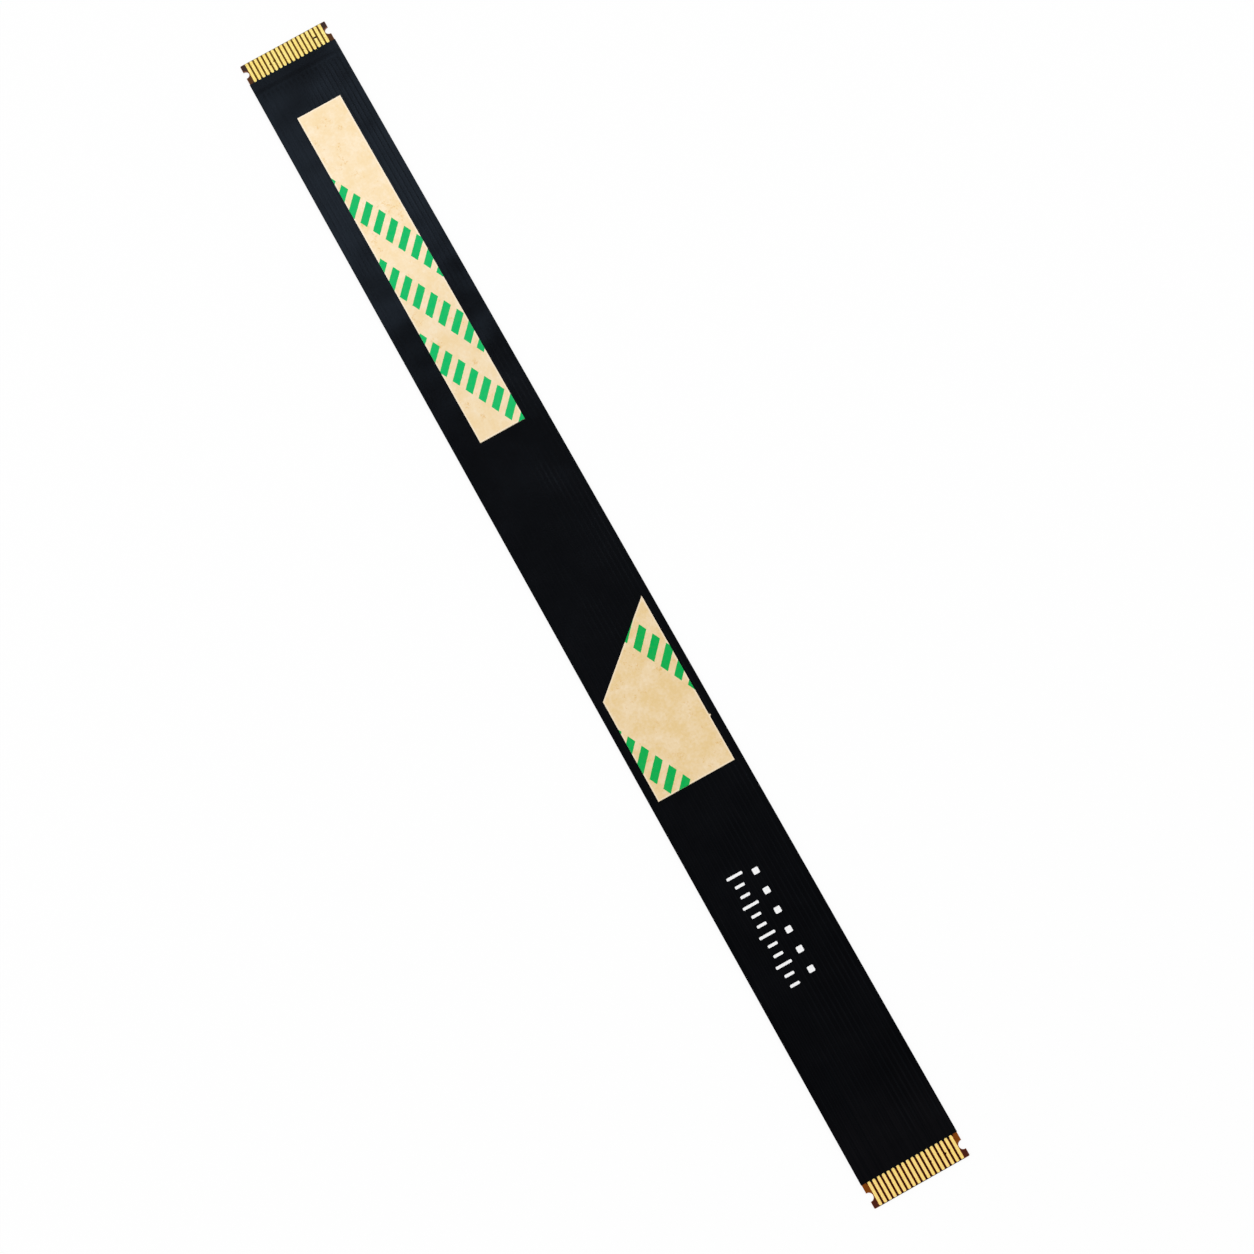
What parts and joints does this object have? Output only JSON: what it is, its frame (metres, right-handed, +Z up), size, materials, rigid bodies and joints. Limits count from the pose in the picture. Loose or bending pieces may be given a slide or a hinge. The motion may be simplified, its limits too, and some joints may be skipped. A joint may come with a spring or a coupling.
{
  "type": "touchpad cable",
  "caption": "Thin black flexible printed-circuit strip that links a touchpad to its board, with gold contact fingers on a notched tongue at each end and paper-lined adhesive pads.",
  "frame": {"origin": "under the middle of the strip, on the surface that it lies on", "axes": "+X along the strip towards its far end, +Y across it, +Z up out of the contact side"},
  "size_m": [0.13, 0.01, 0.0005],
  "materials": {
    "cover_film": "satin",
    "base_film": "gloss",
    "stiffener": "satin",
    "contact_gold": "satin",
    "adhesive": "gloss",
    "liner_paper": "matte"
  },
  "bodies": {
    "root": {"base_film": "base_film", "top_coverlay": "cover_film", "bottom_coverlay": "cover_film", "stiffener_near": "stiffener", "stiffener_far": "stiffener", "conductor_01": "contact_gold", "conductor_02": "contact_gold", "conductor_03": "contact_gold", "conductor_04": "contact_gold", "conductor_05": "contact_gold", "conductor_06": "contact_gold", "conductor_07": "contact_gold", "conductor_08": "contact_gold", "conductor_09": "contact_gold", "conductor_10": "contact_gold", "conductor_11": "contact_gold", "conductor_12": "contact_gold", "conductor_13": "contact_gold", "conductor_14": "contact_gold", "conductor_15": "contact_gold", "conductor_16": "contact_gold", "conductor_17": "contact_gold", "conductor_18": "contact_gold", "adhesive_long": "adhesive", "adhesive_short": "adhesive", "liner_long": "liner_paper", "liner_short": "liner_paper"}
  },
  "joints": []
}
